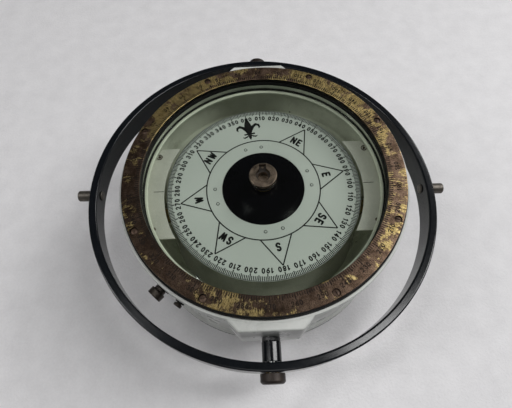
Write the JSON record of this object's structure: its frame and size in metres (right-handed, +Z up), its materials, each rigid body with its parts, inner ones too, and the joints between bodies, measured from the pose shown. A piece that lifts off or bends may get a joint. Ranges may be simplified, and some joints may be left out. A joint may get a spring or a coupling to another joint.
{
  "type": "binnacle compass",
  "caption": "Liquid-filled ship's compass bowl with a graduated brass bearing ring, a turning card under glass and a black gimbal ring on trunnions.",
  "frame": {"origin": "on the ground under the bowl's centre, at the bottom centre of the bounding box", "axes": "+Z up, along the card's pivot; -X forward, towards the forward lubber line; +X aft, along the outer gimbal pins; -Y towards the front trunnion; the gimbal ring leans 2.75 degrees about +Y at rest"},
  "size_m": [0.346, 0.334, 0.12],
  "materials": {
    "white_paint": "satin white enamel",
    "patinated_brass": "dark brown patina worn to bright brass in places",
    "screw_brass": "tarnished",
    "black_rubber": "matt",
    "black_paint": "gloss black enamel",
    "clear_glass": "clear, polished",
    "boss_bronze": "brown patina, satin",
    "plain_brass": "machined",
    "cream_plate": "satin cream enamel",
    "steel": "ground",
    "dark_steel": "blackened",
    "plug_bronze": "dark patina",
    "cap_bronze": "dark brown patina",
    "pin_bronze": "grey-brown, worn",
    "membrane": "matt",
    "card_white": "matt greenish white, printed black",
    "float_black": "gloss black",
    "jewel": "polished"
  },
  "bodies": {
    "bowl": {"bowl_body": "white_paint", "bearing_ring": "patinated_brass", "bearing_ring_screw_1": "screw_brass", "bearing_ring_screw_2": "screw_brass", "bearing_ring_screw_3": "screw_brass", "bearing_ring_screw_4": "screw_brass", "bearing_ring_screw_5": "screw_brass", "bearing_ring_screw_6": "screw_brass", "bearing_ring_screw_7": "screw_brass", "bearing_ring_screw_8": "screw_brass", "ring_gasket": "black_rubber", "glass_clamp_ring": "black_paint", "top_glass": "clear_glass", "glass_seal": "black_rubber", "centre_boss": "boss_bronze", "centre_boss_washer": "black_rubber", "centre_boss_nut": "plain_brass", "lubber_plate_forward": "cream_plate", "lubber_plate_aft": "cream_plate", "lubber_screw_1": "screw_brass", "lubber_screw_2": "screw_brass", "lubber_screw_3": "screw_brass", "lubber_screw_4": "screw_brass", "pivot_bridge": "plain_brass", "bridge_screw_1": "screw_brass", "bridge_screw_2": "screw_brass", "pivot_pin": "steel", "base_cover": "white_paint", "base_seal": "black_rubber", "expansion_diaphragm": "membrane", "base_screw_1": "screw_brass", "base_screw_2": "screw_brass", "base_screw_3": "screw_brass", "base_screw_4": "screw_brass", "base_screw_5": "screw_brass", "base_screw_6": "screw_brass", "filler_plug": "plug_bronze", "filler_washer": "black_rubber", "vent_screw": "plug_bronze", "vent_washer": "black_rubber", "trunnion_pin_front": "steel", "trunnion_pin_back": "steel", "trunnion_collar_front": "dark_steel", "trunnion_collar_back": "dark_steel", "trunnion_sleeve_front": "black_paint", "trunnion_sleeve_back": "black_paint"},
    "card": {"compass_card": "card_white", "card_float": "float_black", "magnet_bracket": "plain_brass", "magnet_east": "dark_steel", "magnet_west": "dark_steel", "jewel_holder": "plain_brass", "jewel_cup": "jewel"},
    "gimbal": {"gimbal_ring": "black_paint", "gimbal_bush_front": "plain_brass", "gimbal_bush_back": "plain_brass", "bearing_cap_front": "cap_bronze", "bearing_cap_back": "cap_bronze", "gimbal_pin_forward": "pin_bronze", "gimbal_pin_aft": "pin_bronze"}
  },
  "joints": [
    {"name": "gimbal_tilt", "type": "hinge", "parent": "bowl", "child": "gimbal", "pos_m": [0, 0, 0.083], "axis": [0, 1, 0], "range_deg": [-27.75, 22.25]},
    {"name": "card_turn", "type": "hinge", "parent": "bowl", "child": "card", "pos_m": [0, 0, 0.0846], "axis": [0, 0, 1], "continuous": true}
  ]
}
